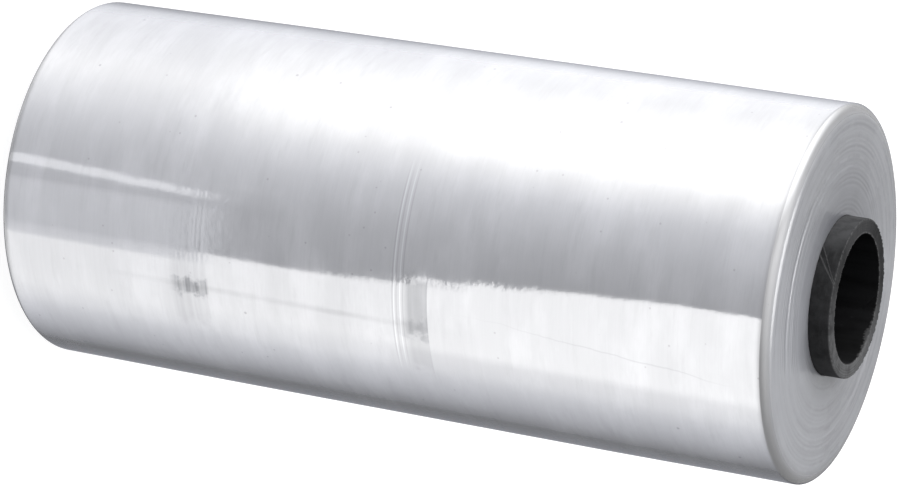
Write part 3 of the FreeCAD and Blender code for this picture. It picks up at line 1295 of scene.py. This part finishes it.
    def upper_room(self, sketch: NodeSketch, direction: Socket,
                   parts: bpy.types.bpy_prop_collection) -> Socket:
        """Brightness of the room's upper half: bright on one side, dim on the other, with a small window.

        Args:
            sketch: Where the nodes go.
            direction: The direction looked in.
            parts: Its three parts.

        Returns:
            The brightness as a colour.
        """
        soft = sketch.product(
            sketch.ramp(parts[0], -0.9, -0.4, 3.5, 1.08),
            sketch.ramp(parts[0], -0.3, 0.9, 1.0, 0.28),
            sketch.ramp(parts[1], 0.1, 0.95, 1.0, 0.45),
            sketch.ramp(parts[2], 0.5, 0.95, 1.0, 1.5),
        )
        rise, bearing = math.radians(self.window_elevation), math.radians(self.window_azimuth)
        window = (math.cos(rise) * math.cos(bearing), math.cos(rise) * math.sin(bearing), math.sin(rise))
        to_window = sketch.node("ShaderNodeVectorMath", {0: direction, 1: window}, operation="DOT_PRODUCT")
        outer, inner = (math.cos(math.radians(angle)) for angle in self.window_angles)
        glow = sketch.ramp(to_window.outputs["Value"], outer, inner, 0.0, self.window_light)
        return sketch.plus(soft, glow)


@dataclass
class Studio:
    """A pale floor and backdrop, the soft light of the room, and the camera."""

    floor_half_width: float = 60.0
    backdrop_radius: float = 55.0
    backdrop_heights: tuple[float, float] = (-1.0, 40.0)
    backdrop_columns: int = 96
    picture_width: float = 899.0
    focal_pixels: float = 3507.5
    sensor_width: float = 36.0
    camera_place: tuple[float, float, float] = (0.0, -1.9442, 1.14019)

    def floor(self) -> None:
        """Makes the floor, which the film's gloss looks through, so that it mirrors the room's lower half."""
        half = self.floor_half_width
        corners = np.array([(-half, -half, 0), (half, -half, 0), (half, half, 0), (-half, half, 0)], float)
        made = mesh_object("floor", corners, np.array([[0, 1, 2, 3]]))
        made.data.materials.append(StageFinish("pale_floor", 0.34, 0.84).material())
        made.visible_glossy = False

    def backdrop(self) -> None:
        """Makes a wide upright ring round the floor that only the camera sees."""
        count, radius = self.backdrop_columns, self.backdrop_radius
        azimuths = np.linspace(0, TURN, count, endpoint=False)
        ring = np.stack([radius * np.cos(azimuths), radius * np.sin(azimuths)], axis=-1)
        rings = [np.column_stack([ring, np.full(count, height)]) for height in self.backdrop_heights]
        low = np.arange(count)
        onward = np.roll(low, -1)
        quads = np.stack([low, low + count, onward + count, onward], axis=-1)
        made = mesh_object("backdrop", np.concatenate(rings), quads)
        made.data.materials.append(StageFinish("pale_backdrop", 0.0, 1.02).material())
        for ray in ("glossy", "diffuse", "shadow", "transmission"):
            setattr(made, f"visible_{ray}", False)

    def camera(self) -> None:
        """Makes the camera, set where the picture was taken from and rolled with the roll."""
        right = Vector((-0.15906542, 0.4055621, 0.90012087))
        upwards = Vector((-0.9872641, -0.06276647, -0.14618467))
        back = Vector((-0.00278955, -0.91190995, 0.41038088))
        data = bpy.data.cameras.new("camera")
        data.sensor_width = self.sensor_width
        data.lens = self.focal_pixels * self.sensor_width / self.picture_width
        data.clip_start, data.clip_end = 0.05, 500.0
        made = bpy.data.objects.new("camera", data)
        bpy.context.scene.collection.objects.link(made)
        turned = Matrix((right, upwards, back)).transposed().to_4x4()
        made.matrix_world = Matrix.Translation(self.camera_place) @ turned
        bpy.context.scene.camera = made

    def build(self) -> None:
        """Makes the whole studio."""
        self.floor()
        self.backdrop()
        RoomLight().world()
        self.camera()
        bpy.context.scene.view_settings.view_transform = "Standard"


def main() -> None:
    """Builds the winding, the core and the studio in order, and reports each piece."""
    logging.basicConfig(level=logging.INFO, format="%(name)s: %(message)s")
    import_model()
    core_low, core_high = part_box("core")
    _, film_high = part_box("film_winding")
    overhang = 13.0 * MM
    film_foot, film_head = core_low.z + overhang, core_high.z - overhang
    winding = FilmWinding(film_foot, film_head, core_high.x, film_high.x)
    core = PaperCore(core_low.z, core_high.z, core_high.x, film_foot, film_head)
    for assembly in (winding, core):
        piece = assembly.build()
        LOG.info("%s has %d faces", piece.name, len(piece.data.polygons))
    Studio().build()


if __name__ == "__main__":
    main()
